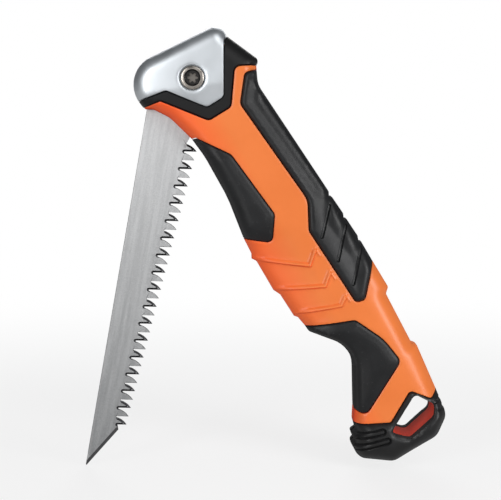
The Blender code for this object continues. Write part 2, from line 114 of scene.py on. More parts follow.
FINGER_BAY = [(144, 5.8, 14), (127.8, -8.6, 3)]
BELLY_RIDGES = [(119.6, -10, 0.8), (118.2, -11.3, 0.5), (106.4, -12.2, 1), (103, -14, 1.2),
                (87.4, -14.5, 1), (85.2, -16, 0.8), (83, -14.9, 1)]
BELLY_LINE = [(55, -12.3, 40), (34, -12.6, 30)]
BELLY_FRONT = [(10.5, -18.2, 12), (4, -22.8, 1.5), (2.3, -25.8, 0.5)]
CORE = [(-18.8, -28, 14), (-17, 19.6, 9), (8, 30, 9), (17, 25.2, 20), (76, 31.6, 60),
        (127.5, 33.6, 30), (178, 32, 60), (196.5, 31, 10), (202.2, 18, 12), (203.2, -3, 10),
        (192, -17, 9), (168, -6.4, 9), (144, 6.2, 11), (128, -9.4, 9), (80, -14.6, 12),
        (55, -12.3, 30), (34, -12.8, 30), (12, -18.4, 20), (5, -26, 9)]
TETHER_HOLE = [(186.6, 2.4, 2.5), (175.4, 21, 2.5), (184.6, 27.2, 4), (189.6, 24.2, 4), (193.4, 9.6, 3.5)]
CHANNEL_TOP = 12.3
CHANNEL_MOUTH = [(-40, -60), (-40, 19.6), (-8, 19.6)]
CHANNEL_BACK = [(14, CHANNEL_TOP), (166, CHANNEL_TOP), (171, 9), (191.5, -1.5), (192, -60)]
LEVER_POCKET = [(-1.2, 15.2), (39.6, 15.2), (39.6, 40), (11.5, 40), (11.5, 24), (-1.2, 24)]

# Hardware, as in the CAD model but for the pivot screw's mouth, as (radius, depth) points, and its recess
TANG_RADIUS = 16.0
SWING_GAP = 0.8
PIVOT_HOLE = 4.3
SLEEVE_RADIUS = 4.0
SCREW_RADIUS = 2.4
HEAD_RADIUS = 5.4
HEAD_SEAT = 9.6
HEAD_TOP = 12.3
HEAD_MOUTH = [(0, 1.4), (3.1, 1.4), (3.3, 1.25), (3.65, 0.3)]
SCREW_END = 8.6
SLEEVE_END = 7.5
SEAT_RADIUS = HEAD_RADIUS + 0.55
SEAT_LOOP = HEAD_RADIUS + 0.8
RECESS_TOP = 10.4
RECESS_FLOOR = 9.5
WASHER_RADIUS = 7.0
WASHER_TOP = 1.75
PIN_REACH = 6.0
STOP_RADIUS = 1.8
STOP_ORBIT = 9.5
STOP_ANGLE = 40.0
LOCK_PIN = (20.0, 19.0)
LOCK_PIN_RADIUS = 1.5
SHELL_SCREWS = ((52.0, 22.5), (86.0, 24.0), (131.0, 25.5), (163.0, 27.0))
SHELL_SCREW_RADIUS = 1.4
SHELL_SCREW_HEAD = 2.6
SHELL_SCREW_SEAT = 6.0
SHELL_SCREW_THICK = 2.0
SPRING_S = 33.0
SPRING_FOOT = 15.5
SPRING_HEAD = 20.7
SPRING_RADIUS = 1.45
SPRING_WIRE = 0.35
SPRING_TURNS = 5

# Blade, as in the CAD model, but with finer steps
BLADE_POINT = (187.7, -18.3)
SPINE = -18.6
FIRST_TOOTH = (32.6, 7.2)
LAST_TOOTH = (165.0, -3.0)
TEETH = 33
TOOTH_BACK = (-2.7, -5.3)
TOOTH_FRONT = (0.9, -5.6)
LAST_FRONT = (0.7, -4.2)
TOOTH_BULGE = 1.15
BEVEL_CORNER = (168.0, -6.3)
CLOSED_LEAN = -4.96
HEEL = [(5.0, SPINE, 4.0), (-0.8, -15.5, 0)]
TANG_SPAN = (27, 268)
TANG_STEP = 3
NOSE_ANGLE = 80.0
LOCK_ANGLES = (0.0, 125.0, 180.0)
NOTCH_DEPTH = 2.2
NOTCH_HALF_ANGLE = 8.5

# The blade's ground edges: the rim's chamfer, how far the facets reach, and how far they let an edge down
CHAMFER = 0.14
TOOTH_FACET = 0.95
KNIFE_FACET = 1.5
FACET_DEPTH = 0.52

# The surfaces of the mouldings
SIDE_WALL = 3.4
CROWN_REACH = 6.5
SHELL_FACE = 12.3
BAND_FACE = 11.5
BOLSTER_FACE = 12.7
BOOT_FACE = 14.3
BUTT_RIDGE = 24.3
PAD_FILLET = 0.6
BOOT_FILLET = 0.9
SHELL_FILLET = 0.45
CAST_FILLET = 0.25

# How finely the meshes are divided
ARC_STEP = 9.0
OUTLINE_STEP = 0.9
LINE_STEP = 0.5
EDGE_MARGIN = 0.045
RINGS = (0.06, 0.15, 0.28, 0.45, 0.7, 1.05, 1.5, 2.1, 2.9, 3.9, 5.1, 6.4)
PITCH = 1.0
BACK_PITCH = 0.7
ROW_RISE = 0.866
FACET_STEP = 0.45
BLADE_PITCH = 3.0
BLADE_RISE = 2.6

# Relief: the belly's ridges, the back grip's slots, the boot's ribs and grooves, and its tether hole
RIDGE = 1.05
SLOT_DEPTH = 1.1
HOLLOW_DEPTH = 0.75
RIB_DEPTH = 1.1
HOLE_MOUTH = 1.3
CHEVRONS = [((86.5, -14.0), (100.3, 6.6), (94.9, 12.3), (97.8, 12.7)),
            ((102.7, -13.2), (111.9, 8.3), (107.4, 13.3), (110.6, 13.8)),
            ((116.7, -10.6), (123.3, 10.7), (120.3, 14.5), (122.9, 14.9))]
SLOTS = [((90.9, 17.6), (80.2, 27.2), (76.7, 30.0)),
         ((103.8, 19.0), (91.9, 29.4), (88.9, 31.2)),
         ((116.7, 20.1), (104.3, 30.8), (101.4, 32.3))]
RIBS = [((180.3, -13.6), (183.8, -0.1)), ((185.4, -15.1), (188.7, 0.0))]
BACK_GROOVES = [((184.5, 31.0), (183.7, 27.4)), ((188.5, 30.6), (187.6, 27.6))]
# A small notch of the outline, as (ds, dn, radius) from its point, where a slot's hollow or a groove runs out
SLOT_NOTCH = [(-2.2, 0.35, 1.2), (-0.1, -0.75, 0.4), (0.75, 0.5, 0.5)]
GROOVE_NOTCH = [(-1.15, 0.1, 0.4), (0, -1.15, 0.35), (1.15, 0, 0.5)]

# Studio. Soft boxes: name, azimuth and elevation in degrees, distance, width and height, watts
SOFT_BOXES = [
    ("left", -35, 6, 1.0, (0.35, 0.8), 5.7),
    ("key", 48, 12, 1.0, (0.4, 0.45), 5.8),
    ("upper", 24, 42, 1.1, (0.6, 0.5), 1.8),
    ("front", 2, 8, 1.3, (0.5, 0.5), 0.3),
    ("back", 180, 18, 1.1, (0.7, 0.8), 6.0),
]
SKY = (0.12, 0.123, 0.128, 1)
FLOOR_RADIUS = 4.0
FLOOR_GLOW = 0.4
FLOOR_FADE = (0.12, 0.6)
CAMERA_LENS = 85
CAMERA_AWAY = 0.55
CAMERA_DOWN = math.radians(6)
CAMERA_AIM = (-6.71, 0, 0.32)


# ---- outlines


def unit(start, end):
    length = math.hypot(end[0] - start[0], end[1] - start[1])
    return (end[0] - start[0]) / length, (end[1] - start[1]) / length, length


def rounded(corners):
    """The outline through (s, n, radius) corners, each rounded by an arc of its radius where it fits."""
    count = len(corners)
    edges = [unit(corners[i], corners[(i + 1) % count]) for i in range(count)]
    cosines = [-edges[i - 1][0] * edges[i][0] - edges[i - 1][1] * edges[i][1] for i in range(count)]
    halves = [math.acos(max(-1.0, min(1.0, cosine))) / 2 for cosine in cosines]
    wanted = [corner[2] / math.tan(half) for corner, half in zip(corners, halves)]
    fits = [min(1.0, 0.98 * edges[i][2] / (wanted[i] + wanted[(i + 1) % count] + 0.001)) for i in range(count)]
    outline = []
    for i, (s, n, radius) in enumerate(corners):
        reach = wanted[i] * min(fits[i - 1], fits[i])
        if reach < 0.05:
            outline.append((s, n))
            continue
        (in_s, in_n, _), (out_s, out_n, _) = edges[i - 1], edges[i]
        side = 1 if in_s * out_n - in_n * out_s > 0 else -1
        radius = reach * math.tan(halves[i])
        hub_s, hub_n = s - in_s * reach - side * in_n * radius, n - in_n * reach + side * in_s * radius
        start = math.atan2(in_n, in_s) - side * math.pi / 2
        sweep = side * (math.pi - 2 * halves[i])
        steps = max(1, math.ceil(math.degrees(abs(sweep)) / ARC_STEP))
        for step in range(steps + 1):
            angle = start + sweep * step / steps
            outline.append((hub_s + radius * math.cos(angle), hub_n + radius * math.sin(angle)))
    return outline


def looped(outline):
    """The outline as a line that ends where it starts."""
    return outline + outline[:1]


def inset(outline, depth):
    """The outline moved inwards by a depth, outwards if it is negative."""
    area = sum(a[0] * b[1] - b[0] * a[1] for a, b in zip(outline, looped(outline)[1:]))
    side = 1 if area > 0 else -1
    points = []
    count = len(outline)
    for i, (s, n) in enumerate(outline):
        in_s, in_n, _ = unit(outline[i - 1], (s, n))
        out_s, out_n, _ = unit((s, n), outline[(i + 1) % count])
        share = depth * side / max(0.2, 1 + in_s * out_s + in_n * out_n)
        points.append((s - (in_n + out_n) * share, n + (in_s + out_s) * share))
    return points


def resampled(line, step):
    """The line with points added so that no edge is longer than a step."""
    points = []
    for start, end in zip(line, line[1:]):
        parts = max(1, math.ceil(math.dist(start, end) / step))
        for i in range(parts):
            share = i / parts
            points.append((start[0] + (end[0] - start[0]) * share, start[1] + (end[1] - start[1]) * share))
    return points + [line[-1]]


def polar(radius, degrees):
    angle = math.radians(degrees)
    return (radius * math.cos(angle), radius * math.sin(angle))


def moved(points, by):
    return [(s + by[0], n + by[1]) for s, n in points]


def circle(centre, radius, count=48):
    return moved([polar(radius, 360 * i / count) for i in range(count)], centre)


def distance(points, line):
    """How far each point is from a line."""
    points = np.asarray(points, float).reshape(-1, 2)
    line = np.asarray(line, float)
    nearest = np.full(len(points), 1e9)
    for start, end in zip(line, line[1:]):
        along = end - start
        share = np.clip((points - start) @ along / max(along @ along, 1e-12), 0, 1)
        gap = points - start - share[:, None] * along
        nearest = np.minimum(nearest, np.einsum("ij,ij->i", gap, gap))
    return np.sqrt(nearest)


def inside(points, outline):
    """Whether each point is inside an outline."""
    points = np.asarray(points, float).reshape(-1, 2)
    within = np.zeros(len(points), bool)
    for (s0, n0), (s1, n1) in zip(outline, looped(outline)[1:]):
        crosses = (n0 > points[:, 1]) != (n1 > points[:, 1])
        if n0 != n1:
            at = s0 + (points[:, 1] - n0) * (s1 - s0) / (n1 - n0)
            within ^= crosses & (points[:, 0] < at)
    return within


def smooth(low, high, value):
    """0 up to low, 1 from high, and a smooth step between."""
    share = np.clip((value - low) / (high - low), 0, 1)
    return share * share * (3 - 2 * share)


def soft(value, width):
    """About 0 below zero and the value itself above, with a soft bend of that width."""
    return (value + np.sqrt(value * value + width * width)) / 2


# ---- meshes


def sifted(outline, groups, margin):
    """Each group's points inside an outline by a margin, and no closer than its spacing to those kept before."""
    cells = {}
    kept = []
    for points, spacing in groups:
        points = np.array(points).reshape(-1, 2)
        clear = inside(points, outline) & (distance(points, looped(outline)) > margin)
        for s, n in points[clear].tolist():
            column, row = math.floor(s), math.floor(n)
            near = [other for c in (column - 1, column, column + 1) for r in (row - 1, row, row + 1)
                    for other in cells.get((c, r), ())]
            if all(math.dist(other, (s, n)) >= spacing for other in near):
                cells.setdefault((column, row), []).append((s, n))
                kept.append((s, n))
    return kept


def grid_points(outline, pitch, rise):
    """A grid over an outline's bounds, with every second row half a pitch along."""
    low, high = np.min(outline, axis=0), np.max(outline, axis=0)
    rows = int((high[1] - low[1]) / rise) + 1
    columns = int((high[0] - low[0]) / pitch) + 1
    return [(low[0] + (i + 0.5 * (j % 2)) * pitch, low[1] + j * rise) for j in range(rows) for i in range(columns)]


def field_points(outline, lines, loops, pitch):
    """Points inside an outline: feature lines, rings that follow its edge and any further loops, then a grid."""
    groups = [(resampled(line, LINE_STEP), 0.08) for line in lines]
    for loop in (outline, *loops):
        for ring in RINGS:
            for way in (1, -1) if loop is not outline else (1,):
                row = np.array(inset(loop, way * ring))
                true = distance(row, looped(loop)) > 0.96 * ring
                groups.append((row[true], min(0.85 * pitch, 0.12 + 0.5 * ring)))
    groups.append((grid_points(outline, pitch, pitch * ROW_RISE), 0.75 * pitch))
    return sifted(outline, groups, EDGE_MARGIN)


def triangles(outline, points):
    """Delaunay triangles over an outline and the points in it: the flat vertices, outline first, and the faces."""
    flat = [Vector(p) for p in outline + points]
    loop = [list(range(len(outline)))]
    made, _, faces, _, _, _ = delaunay_2d_cdt(flat, [], loop, 1, 1e-4)
    middles = [sum((made[i] for i in face), Vector((0, 0))) / len(face) for face in faces]
    kept = inside([tuple(m) for m in middles], outline)
    return np.array([tuple(v) for v in made]), [face for face, keep in zip(faces, kept) if keep]


def vertices(bm, points, levels):
    """A vertex for each (s, n) point, at one level across the handle or at one each."""
    levels = np.broadcast_to(levels, len(points))
    return [bm.verts.new((s * MM, level * MM, n * MM)) for (s, n), level in zip(points, levels)]


def add_cap(bm, flat, faces, levels):
    """A face of the mesh, from its flat points and faces and its levels: its vertices."""
    verts = vertices(bm, flat, levels)
    for face in faces:
        bm.faces.new([verts[i] for i in face])
    return verts


def bridge(bm, lower, upper):
    """Faces between two closed rows of vertices, either of which may be a single vertex."""
    count = max(len(lower), len(upper))
    for i in range(count):
        j = (i + 1) % count
        corners = [lower[i % len(lower)], lower[j % len(lower)], upper[j % len(upper)], upper[i % len(upper)]]
        bm.faces.new(list(dict.fromkeys(corners)))


def mesh_of(bm, name):
    mesh = bpy.data.meshes.new(name)
    bm.to_mesh(mesh)
    bm.free()
    return mesh


def closed_mesh(bm, name):
    """The mesh with its faces turned outwards."""
    bmesh.ops.recalc_face_normals(bm, faces=bm.faces)
    return mesh_of(bm, name)


def moulding(name, corners, surface, fillet=PAD_FILLET, lines=(), loops=(), pitch=PITCH):
    """A closed mesh on the front side, from the parting plane to a surface whose edge is rounded by a fillet."""
    outline = resampled(looped(inset(rounded(corners), SEAM_HALF)), OUTLINE_STEP)[:-1]
    flat, faces = triangles(outline, field_points(outline, lines, loops, pitch))
    levels = surface(flat) - eased(flat, outline, fillet)
    bm = bmesh.new()
    top = add_cap(bm, flat, faces, -levels)
    base = vertices(bm, outline, -PARTING)
    bridge(bm, top[:len(outline)], base)
    bm.faces.new(base)
    return closed_mesh(bm, name)


def prism(outline, low, high, name):
    """A flat outline from one level across the handle to another."""
    bm = bmesh.new()
    below, above = vertices(bm, outline, low), vertices(bm, outline, high)
    bm.faces.new(below)
    bm.faces.new(above)
    bridge(bm, below, above)
    return closed_mesh(bm, name)


def turned(profile, name, segments=96):
    """A closed turned mesh about the axis across the handle, from (radius, level) points that end on it."""
    bm = bmesh.new()
    rows = [vertices(bm, circle((0, 0), radius, segments) if radius else [(0, 0)], level)
            for radius, level in profile]
    for lower, upper in zip(rows, rows[1:]):
        bridge(bm, lower, upper)
    return closed_mesh(bm, name)


def object_of(data, name):
    obj = bpy.data.objects.new(name, data)
    bpy.context.scene.collection.objects.link(obj)
    return obj


def check_closed(mesh):
    """Stops the script at an open mesh, because a Boolean that is given one leaves out its cut."""
    bm = bmesh.new()
    bm.from_mesh(mesh)
    open_edges = sum(not edge.is_manifold for edge in bm.edges)
    bm.free()
    if open_edges:
        raise ValueError(f"{mesh.name} has {open_edges} open edges")


def combined(mesh, others, operation="DIFFERENCE"):
    """The mesh after a Boolean with each of the others in turn."""
    for given in (mesh, *others):
        check_closed(given)
    obj = object_of(mesh, "work")
    tools = [object_of(other, "tool") for other in others]
    for tool in tools:
        step = obj.modifiers.new("step", "BOOLEAN")
        step.operation = operation
        step.object = tool
        step.solver = "MANIFOLD"
    bpy.context.view_layer.update()
    made = bpy.data.meshes.new_from_object(obj.evaluated_get(bpy.context.evaluated_depsgraph_get()))
    for used in (obj, *tools):
        bpy.data.objects.remove(used)
    check_closed(made)
    return made


def mirrored(mesh):
    """A copy of a front mesh for the rear."""
    bm = bmesh.new()
    bm.from_mesh(mesh)
    bmesh.ops.transform(bm, matrix=Matrix.Diagonal((1, -1, 1, 1)), verts=bm.verts)
    bmesh.ops.reverse_faces(bm, faces=bm.faces)
    return mesh_of(bm, "mirrored")


def clean(mesh, angle):
    """Merges doubled vertices, drops faces with no area and shades smooth up to an angle."""
    bm = bmesh.new()
    bm.from_mesh(mesh)
    bmesh.ops.remove_doubles(bm, verts=bm.verts, dist=0.000004)
    bmesh.ops.dissolve_degenerate(bm, dist=0.000002, edges=bm.edges)
    for face in bm.faces:
        face.smooth = True
    bm.to_mesh(mesh)
    bm.free()
    mesh.set_sharp_from_angle(angle=math.radians(angle))


def add_piece(node, mesh, look, body="handle", turn=HANDLE_TURN, angle=32):
    """The finished piece in its place, riding on its body and standing for its CAD node."""
    name = f"{node}_finish"
    clean(mesh, angle)
    mesh.name = name
    mesh.materials.clear()
    mesh.materials.append(look)
    mesh.transform(Matrix.Translation(PIVOT) @ Matrix.Rotation(math.radians(turn), 4, "Y"))
    obj = object_of(mesh, name)
    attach(obj, body)
    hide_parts(node)
    return obj


# ---- materials


def put(socket, value):
    """Links a node's input to an output, or sets its value."""
    if isinstance(value, bpy.types.NodeSocket):
        socket.id_data.links.new(value, socket)
    else:
        socket.default_value = value


def fill(node, inputs):
    """The node, with inputs by name, written with _ for a space."""
    for name, value in inputs.items():
        put(node.inputs[name.replace("_", " ")], value)
    return node


def add_node(tree, kind, **inputs):
    return fill(tree.nodes.new(kind), inputs)


class Look:
    """A node material with a Principled shader, built up by a few calls."""

    def __init__(self, name, turn=HANDLE_TURN):
        self.made = bpy.data.materials.new(name)
        self.made.use_nodes = True
        self.tree = self.made.node_tree
        self.shader = self.tree.nodes["Principled BSDF"]
        world = self.node("ShaderNodeTexCoord").outputs["Object"]
        plane = self.node("ShaderNodeMapping", Vector=world, Location=PIVOT, Rotation=(0, math.radians(turn), 0))
        plane.vector_type = "TEXTURE"
        self.place = plane.outputs["Vector"]
        self.relief = None

    def node(self, kind, **inputs):
        return add_node(self.tree, kind, **inputs)

    def set(self, **inputs):
        fill(self.shader, inputs)

    def noise(self, scale, detail=2.0, roughness=0.5, stretch=(1, 1, 1)):
        place = self.node("ShaderNodeMapping", Vector=self.place, Scale=stretch).outputs["Vector"]
        node = self.node("ShaderNodeTexNoise", Vector=place, Scale=scale, Detail=detail, Roughness=roughness)
        return node.outputs["Fac"]

    def ramp(self, value, low, high, start=0.0, end=1.0):
        """Start where the value is at its low end, end where it is at its high end."""
        node = self.node("ShaderNodeMapRange", Value=value, From_Min=low, From_Max=high, To_Min=start, To_Max=end)
        return node.outputs["Result"]

    def math(self, operation, a, b=0.0):
        node = self.node("ShaderNodeMath")
        node.operation = operation
        put(node.inputs[0], a)
        put(node.inputs[1], b)
        return node.outputs["Value"]

    def mix(self, share, first, second):
        node = self.node("ShaderNodeMix")
        node.data_type = "RGBA"
        put(node.inputs["Factor"], share)
        for socket, value in ((node.inputs[6], first), (node.inputs[7], second)):
            put(socket, value if isinstance(value, bpy.types.NodeSocket) else (*value, 1))
        return node.outputs[2]

    def axis(self, name):
        return self.node("ShaderNodeSeparateXYZ", Vector=self.place).outputs[name]

    def facing(self):
        """How squarely the surface faces out across the handle, 0 to 1."""
        normal = self.node("ShaderNodeTexCoord").outputs["Normal"]
        return self.math("ABSOLUTE", self.node("ShaderNodeSeparateXYZ", Vector=normal).outputs["Y"])

    def bump(self, height, strength, depth):
        """One more layer of relief, over those before it."""
        node = self.node("ShaderNodeBump", Height=height, Strength=strength, Distance=depth)
        if self.relief is not None:
            put(node.inputs["Normal"], self.relief)
        self.relief = node.outputs["Normal"]
        put(self.shader.inputs["Normal"], self.relief)
        return self


def orange_look():
    """Painted shade: a deeper red towards the belly and where the belly side slopes away, and dark red on steep
    walls, which are rough. The core's flat top, seen only through the seams, is painted near-black for the black
    moulding in the seams and the shadow deep in them.
    """
    look = Look("orange_moulded")
    grain = look.noise(3600, 3, 0.6)
    clouds = look.noise(60, 3, 0.5)
    facing = look.facing()
    height = look.axis("Z")
    # Painted shade: the orange goes a deeper red where the surface slopes away on the belly side, and towards the
    # belly edge.
    sloping = look.math("MULTIPLY", look.ramp(facing, 0.97, 0.35), look.ramp(height, 0.018, 0.006))
    belly = look.ramp(height, 0.004, -0.016, 0.0, 0.9)
    face = look.mix(look.ramp(clouds, 0.35, 0.65), (0.8, 0.19, 0.038), (0.84, 0.207, 0.045))
    body = look.mix(look.math("MAXIMUM", sloping, belly), face, (0.97, 0.105, 0.018))
    gloss = look.ramp(grain, 0.3, 0.7, 0.33, 0.41)
    # Painted near-black on the core's flat top, which shows only through the seams: the black moulding that fills
    # the seams, and painted shadow deep in them.
    off_core = look.math("ABSOLUTE", look.math("SUBTRACT", look.math("ABSOLUTE", look.axis("Y")), CORE_TOP * MM))
    seam_black_and_shadow = look.math("MULTIPLY", look.ramp(off_core, 0.00005, 0.00002), look.ramp(facing, 0.9985, 0.9995))
    body = look.mix(seam_black_and_shadow, body, (0.006, 0.004, 0.004))
    # Painted shade: steep walls, all but those at the back, are a dark red.
    steep = look.math("MULTIPLY", look.ramp(facing, 0.35, 0.1), look.ramp(height, 0.0295, 0.0275))
    look.set(Base_Color=look.mix(steep, body, (0.6, 0.04, 0.008)),
             Roughness=look.math("MAXIMUM", gloss, look.ramp(facing, 0.75, 0.2, 0.3, 0.95)),
             Specular_IOR_Level=0.42)
    return look.bump(grain, 0.12, 0.00006).bump(clouds, 0.05, 0.0003).made


def rubber_look(name, colour, roughness):
    """Fine pebbled rubber with cloudy gloss and a few pale specks of dust, rough on its steep walls."""
    look = Look(name)
    grain = look.node("ShaderNodeTexVoronoi", Vector=look.place, Scale=1900).outputs["Distance"]
    clouds = look.noise(90, 4, 0.6)
    lighter = tuple(c * 1.5 for c in colour)
    specks = look.ramp(look.noise(700, 2, 0.5), 0.66, 0.74, 0.0, 0.18)
    body = look.mix(look.ramp(clouds, 0.35, 0.7), colour, lighter)
    gloss = look.ramp(clouds, 0.3, 0.7, roughness - 0.05, roughness + 0.06)
    look.set(Base_Color=look.mix(specks, body, (0.1, 0.1, 0.105)),
             Roughness=look.math("MAXIMUM", gloss, look.ramp(look.facing(), 0.6, 0.1, 0.3, 1.0)),
             Specular_IOR_Level=0.38)
    return look.bump(grain, 0.22, 0.00008).made


def plastic_look():
    look = Look("black_moulded")
    grain = look.noise(3000, 3, 0.6)
    clouds = look.noise(80, 3, 0.5)
    look.set(Base_Color=look.mix(clouds, (0.004, 0.004, 0.0043), (0.007, 0.007, 0.0075)),
             Roughness=look.ramp(grain, 0.3, 0.7, 0.42, 0.54), Specular_IOR_Level=0.3)
    return look.bump(grain, 0.12, 0.00006).made


def cast_look():
    look = Look("satin_cast")
    grain = look.noise(2600, 4, 0.65)
    clouds = look.noise(110, 3, 0.5)
    look.set(Base_Color=look.mix(clouds, (0.66, 0.695, 0.725), (0.73, 0.765, 0.795)), Metallic=1.0,
             Roughness=look.ramp(clouds, 0.3, 0.7, 0.44, 0.52))
    return look.bump(grain, 0.16, 0.00005).made


def blade_look():
    """Brushed along the blade, with painted shade that darkens it towards the point, and painted near-black on its
    ground facets and chamfer, which tilt away, as the dark reflection that they show.
    """
    look = Look("brushed_blade", BLADE_TURN)
    strokes = look.noise(1500, 4, 0.65, stretch=(0.05, 1, 1))
    long_strokes = look.noise(520, 3, 0.6, stretch=(0.06, 1, 1))
    speckle = look.noise(2600, 2, 0.6)
    # Painted shade: the blade darkens from near the pivot towards the point.
    along = look.ramp(look.axis("X"), 0.03, 0.19)
    shade = look.ramp(look.math("ADD", long_strokes, speckle), 0.82, 1.18)
    bright = look.mix(shade, (0.59, 0.595, 0.60), (0.71, 0.715, 0.72))
    point_shade_tone = look.mix(shade, (0.30, 0.305, 0.31), (0.41, 0.415, 0.42))
    # Painted reflection: faces that tilt away, the ground facets and the chamfer, are near-black for the dark
    # surroundings they reflect.
    ground = look.ramp(look.facing(), 0.985, 0.93)
    look.set(Base_Color=look.mix(ground, look.mix(along, bright, point_shade_tone), (0.035, 0.035, 0.037)), Metallic=1.0,
             Roughness=look.ramp(strokes, 0.3, 0.7, 0.4, 0.52))
    return look.bump(strokes, 0.25, 0.00003).made


def steel_look(name, colour, roughness, recess_shade_radius=None):
    """Turned steel with a few handling marks. Within a radius of the pivot, all above the recess top is painted
    near-black as shadow, and all below it a lighter painted shade, so that the socket's lobes read as lit.
    """
    look = Look(name)
    marks = look.noise(420, 4, 0.6)
    grain = look.noise(2400, 3, 0.6)
    darker = tuple(c * 0.8 for c in colour)
    tone = look.mix(look.ramp(marks, 0.35, 0.65), darker, colour)
    if recess_shade_radius:
        x, z = look.axis("X"), look.axis("Z")
        radius = look.math("SQRT", look.math("ADD", look.math("MULTIPLY", x, x), look.math("MULTIPLY", z, z)))
        level = look.math("ABSOLUTE", look.axis("Y"))
        # Painted shade in the screw's mouth: near-black above the recess top, and 0.6 of the tone below it, so
        # that the socket's lobes read as lit.
        socket_shade = tuple(c * 0.6 for c in colour)
        floor = look.mix(look.ramp(level, RECESS_TOP * MM, RECESS_TOP * MM + 0.0002), socket_shade, (0.06, 0.057, 0.055))
        tone = look.mix(look.ramp(radius, recess_shade_radius, recess_shade_radius + 0.0002), floor, tone)
    look.set(Base_Color=tone, Metallic=1.0,
             Roughness=look.ramp(marks, 0.3, 0.7, roughness - 0.05, roughness + 0.08))
    return look.bump(grain, 0.1, 0.00004).made


# ---- the handle's surfaces


def silhouette():
    """The handle's outer edge, all mouldings together."""
    corners = (HEAD_END + BOLSTER_EDGE[:1] + HEAD_CORNER + BAND_EDGE[:1] + BACK_EDGE[:1] + BACK_LINE
               + BACK_EDGE[-1:] + BACK_COLLAR + BOOT_EDGE[-1:] + BUTT + BOOT_EDGE[:1] + FINGER_EDGE[-1:]
               + FINGER_BAY + FINGER_EDGE[:1] + BELLY_RIDGES + BELLY_EDGE[-1:] + BELLY_LINE + BELLY_EDGE[:1]
               + BELLY_FRONT + BAND_EDGE[-1:] + BOLSTER_EDGE[-1:])
    return rounded(corners)


def crown(flat, face, reach=CROWN_REACH):
    """The face rolled over to the side wall along the handle's outer edge."""
    depth = np.clip((distance(flat, RIM) - SEAM_HALF) / reach, 0, 1)
    return SIDE_WALL + (face - SIDE_WALL) * np.sqrt(1 - (1 - depth) ** 2)


def eased(flat, outline, radius):
    """How much a rounded edge of that radius takes off along an outline."""
    depth = np.clip(distance(flat, looped(outline)), 0, radius)
    return radius - np.sqrt(radius ** 2 - (radius - depth) ** 2)


def softened(flat, face, reach=0.9, count=8):
    """The face's level, evened out over a small circle round each point."""
    around = [flat + np.array(polar(reach, 360 * i / count)) for i in range(count)]
    return sum(face(points) for points in [flat] + around) / (count + 1)


def rounded_line(corners):
    """An edge's own corners rounded, without the closing stretch between its two ends."""
    first, last = corners[0], corners[-1]
    far = ((first[0] + last[0]) / 2 + 400, (first[1] + last[1]) / 2 + 400, 0)
    return rounded([far, (*first[:2], 0)] + corners[1:-1] + [(*last[:2], 0)])[1:]


def lifted(flat, edge, low, high, reach=5.0):
    """How far a pad stands over its neighbour: low at the edge that they share, high further in."""
    return low + (high - low) * smooth(0, reach, distance(flat, rounded_line(edge)))


def shell_face(flat):
    """The orange face: flat in the middle, falling off to the belly's ridges and to the back."""
    s, n = flat[:, 0], flat[:, 1]
    butt = smooth(120, 130, s)
    face = SHELL_FACE - 0.26 * soft(5.0 - n, 4.0) * smooth(70, 84, s) * (1 - smooth(124, 134, s))
    face -= 0.24 * soft(n - 21.0 + 0.02 * (s - 120), 2.5) * smooth(60, 110, s) * (1 - butt)
    face -= 0.45 * soft(n - BUTT_RIDGE, 3.5) * butt
    face -= 0.15 * soft(n - 20.0, 2.0) * (1 - smooth(60, 110, s)) * smooth(16, 26, s)
    return face


def chevron_relief(flat):
    """The ridges on the belly: each plate swells to its edge, and the next starts lower."""
    s, n = flat[:, 0], flat[:, 1]
    relief = np.zeros(len(flat))
    for foot, corner, top, hook in CHEVRONS:
        foot_s, foot_n, _ = unit(foot, corner)
        start = (foot[0] - 12 * foot_s, foot[1] - 12 * foot_n)
        gap = distance(flat, [start, corner, top])
        left = np.ones(len(flat), bool)
        for a, b in ((foot, corner), (corner, top)):
            left &= (b[0] - a[0]) * (n - a[1]) - (b[1] - a[1]) * (s - a[0]) > 0
        near = smooth(top[1] + 0.8, top[1] - 1.0, n)
        swell = RIDGE * smooth(2.0, 0.35, gap)
        drop = -0.45 * smooth(0.0, 0.7, gap) * (1 - smooth(0.7, 11, gap))
        drop *= 0.35 + 0.65 * smooth(corner[1] + 1.5, corner[1] - 2.0, n)
        relief += near * np.where(left, swell, drop + RIDGE * smooth(0.55, 0.0, gap))
        relief += 0.35 * smooth(0.7, 0.1, distance(flat, [top, hook]))
    return relief


def slot_relief(flat):
    """The engraved slots of the back grip, and the soft hollow from each to the back."""
    relief = np.zeros(len(flat))
    for low_end, high_end, notch in SLOTS:
        gap = distance(flat, [low_end, high_end])
        relief -= SLOT_DEPTH * smooth(0.85, 0.5, gap)
        share = smooth(low_end[1] + 1, notch[1] - 2, flat[:, 1])
        away = distance(flat, [low_end, high_end, notch])
        relief -= HOLLOW_DEPTH * share * np.exp(-(away / 1.7) ** 2)
    return relief


def shell_surface(flat):
    return crown(flat, shell_face(flat) + chevron_relief(flat))


def band_surface(flat):
    return crown(flat, BAND_FACE, 5.0 + 5.0 * smooth(4.0, 16.0, flat[:, 1]))


def bolster_surface(flat):
    """The cast face, bowed to the left, folded down at its tip, with a broad chamfer round the head."""
    s, n = flat[:, 0], flat[:, 1]
    fold = (s - 4.5) * 0.94 - (n - 1.0) * 0.34
    leftward = -s * math.cos(math.radians(HANDLE_TURN)) - n * math.sin(math.radians(HANDLE_TURN))
    face = BOLSTER_FACE - 0.25 * soft(fold, 0.7) - 0.0023 * np.clip(leftward, 0, None) ** 2
    face -= 0.72 * soft(4.9 - distance(flat, RIM), 1.3)
    face -= 0.3 * smooth(0.9, 0.0, distance(flat, looped(circle((0, 0), SEAT_RADIUS, 96))))
    return crown(flat, face, reach=2.6)


